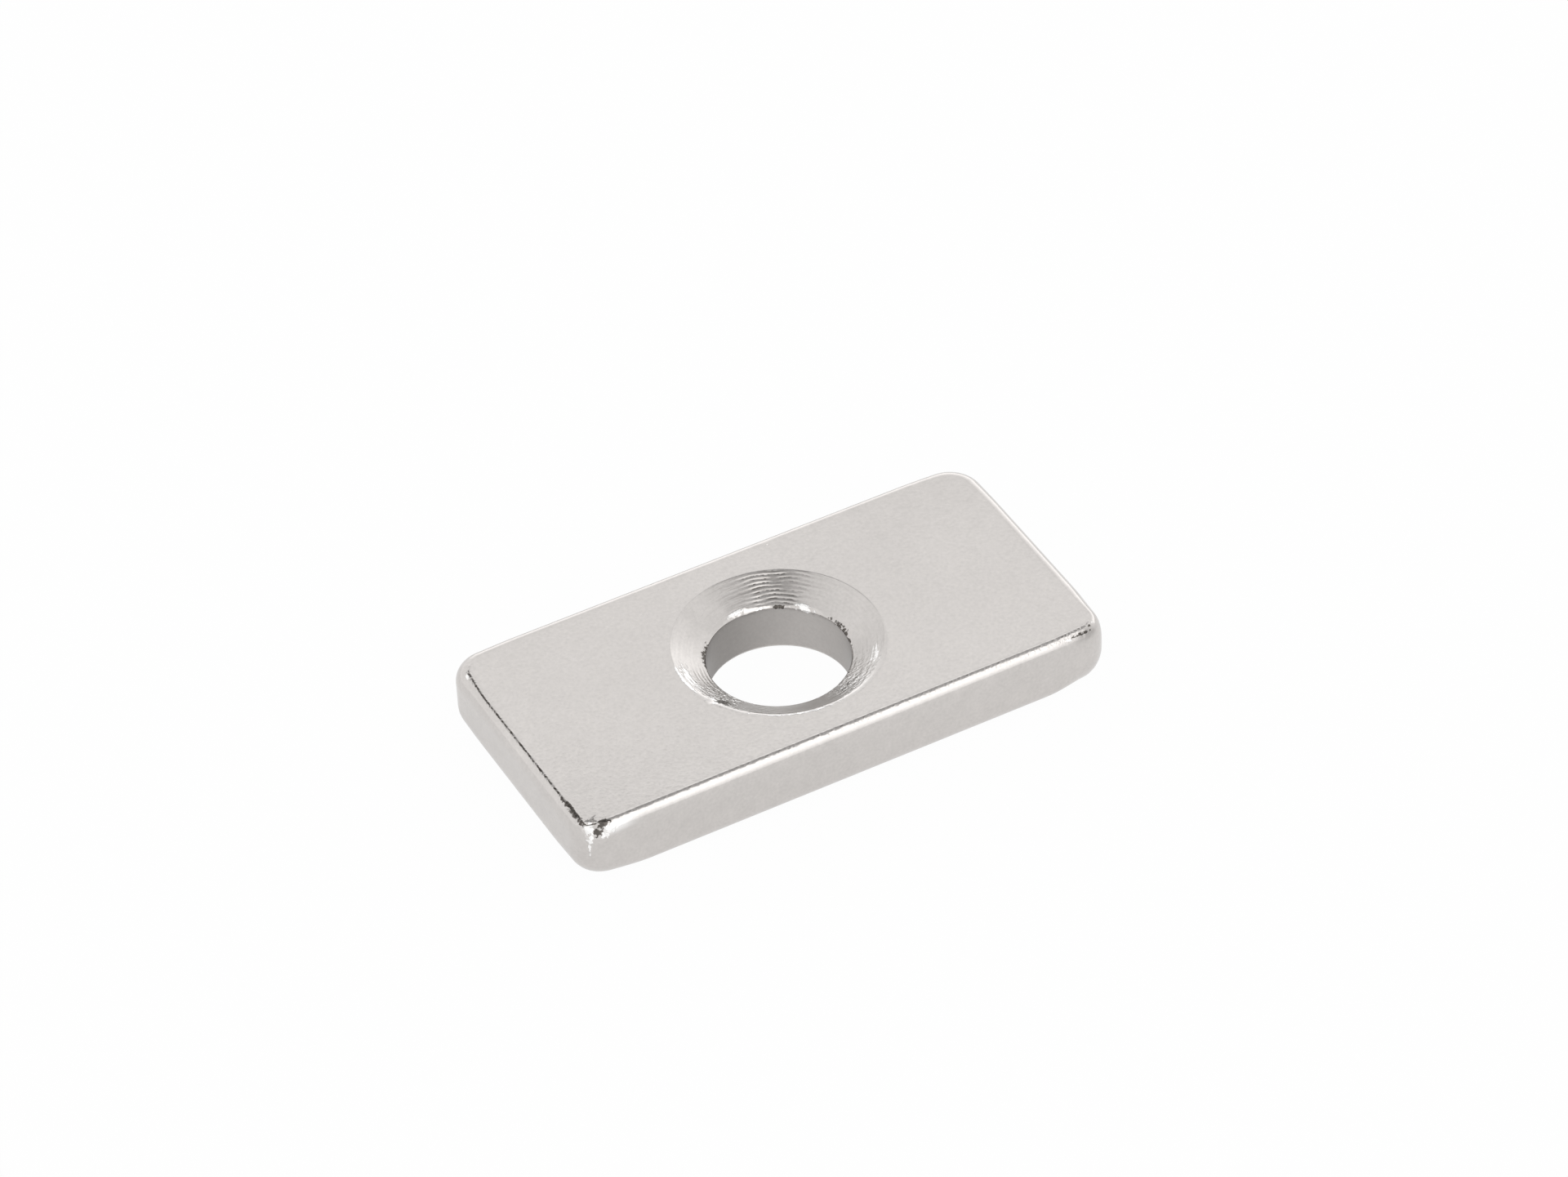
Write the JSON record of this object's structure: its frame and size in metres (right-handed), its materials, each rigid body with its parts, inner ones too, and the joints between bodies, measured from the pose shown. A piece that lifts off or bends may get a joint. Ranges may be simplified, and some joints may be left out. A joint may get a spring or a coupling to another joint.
{
  "type": "block magnet",
  "caption": "Flat rectangular block magnet with round corners and a central countersunk screw hole.",
  "frame": {"origin": "on the axis of the screw hole, in the plane of the underside", "axes": "+X along the length, +Y across the width, +Z along the hole's axis, out of the countersunk face"},
  "size_m": [0.02, 0.01, 0.0025],
  "materials": {
    "nickel_plating": "satin"
  },
  "bodies": {
    "root": {"magnet_block": "nickel_plating"}
  },
  "joints": []
}
